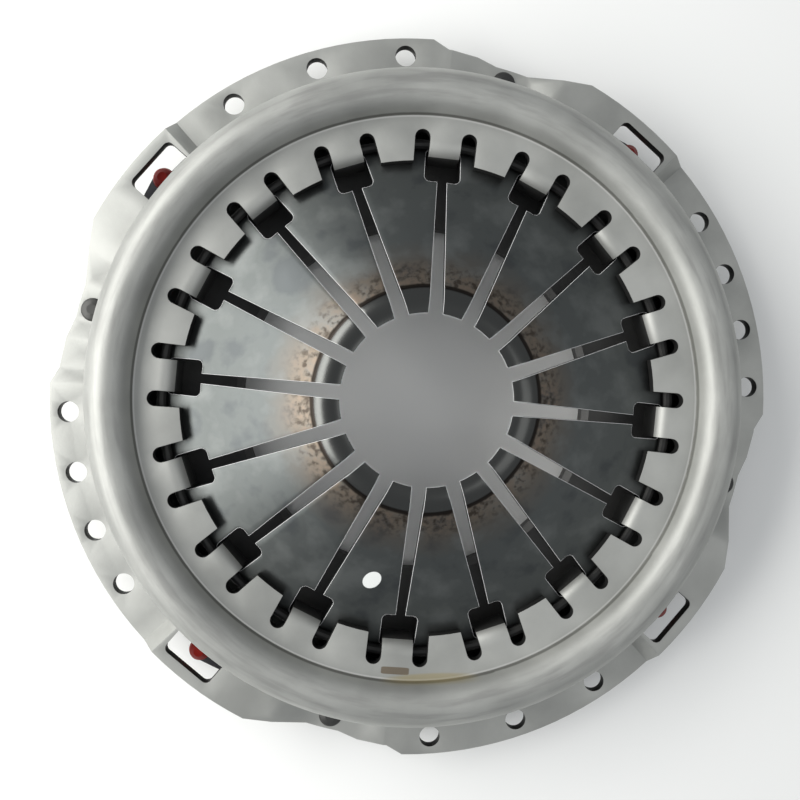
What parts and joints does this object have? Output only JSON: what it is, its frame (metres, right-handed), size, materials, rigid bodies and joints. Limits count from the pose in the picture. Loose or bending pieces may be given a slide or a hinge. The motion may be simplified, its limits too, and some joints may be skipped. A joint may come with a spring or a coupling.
{
  "type": "clutch pressure plate",
  "caption": "Push-type diaphragm clutch cover assembly: stepped pressed cover with bent tabs, slotted coned spring and a cast friction ring on tangential straps.",
  "frame": {"origin": "on the shaft axis, in the plane of the bolting flange's underside", "axes": "+Z along the shaft axis towards the release bearing; +X through the middle of a group of bolt holes"},
  "size_m": [0.473, 0.473, 0.093],
  "materials": {
    "cover": "shot-blasted pressed steel, satin",
    "diaphragm": "tempered blue-grey spring steel, brown heat tint near the tips",
    "wire": "dark drawn wire",
    "strap": "blued spring strip",
    "cover_rivet": "dark phosphated",
    "casting": "grey iron, machined friction face",
    "red_rivet": "red marking paint over steel",
    "washer": "plain steel"
  },
  "bodies": {
    "cover_body": {"cover": "cover", "diaphragm_spring": "diaphragm", "upper_fulcrum_ring": "wire", "lower_fulcrum_ring": "wire", "strap_1_leaf_1": "strap", "strap_1_leaf_2": "strap", "strap_1_leaf_3": "strap", "strap_2_leaf_1": "strap", "strap_2_leaf_2": "strap", "strap_2_leaf_3": "strap", "strap_3_leaf_1": "strap", "strap_3_leaf_2": "strap", "strap_3_leaf_3": "strap", "strap_4_leaf_1": "strap", "strap_4_leaf_2": "strap", "strap_4_leaf_3": "strap", "cover_rivets": "cover_rivet"},
    "plate_body": {"pressure_plate": "casting", "plate_rivet_1": "red_rivet", "plate_rivet_2": "red_rivet", "plate_rivet_3": "red_rivet", "plate_rivet_4": "red_rivet", "plate_washers": "washer"}
  },
  "joints": [
    {"name": "plate_lift", "type": "slide", "parent": "cover_body", "child": "plate_body", "axis": [0, 0, 1], "range_m": [0, 0.0105], "stiffness_N_per_m": 200000, "deforming": ["diaphragm_spring", "strap_1_leaf_1", "strap_1_leaf_2", "strap_1_leaf_3", "strap_2_leaf_1", "strap_2_leaf_2", "strap_2_leaf_3", "strap_3_leaf_1", "strap_3_leaf_2", "strap_3_leaf_3", "strap_4_leaf_1", "strap_4_leaf_2", "strap_4_leaf_3"]}
  ]
}
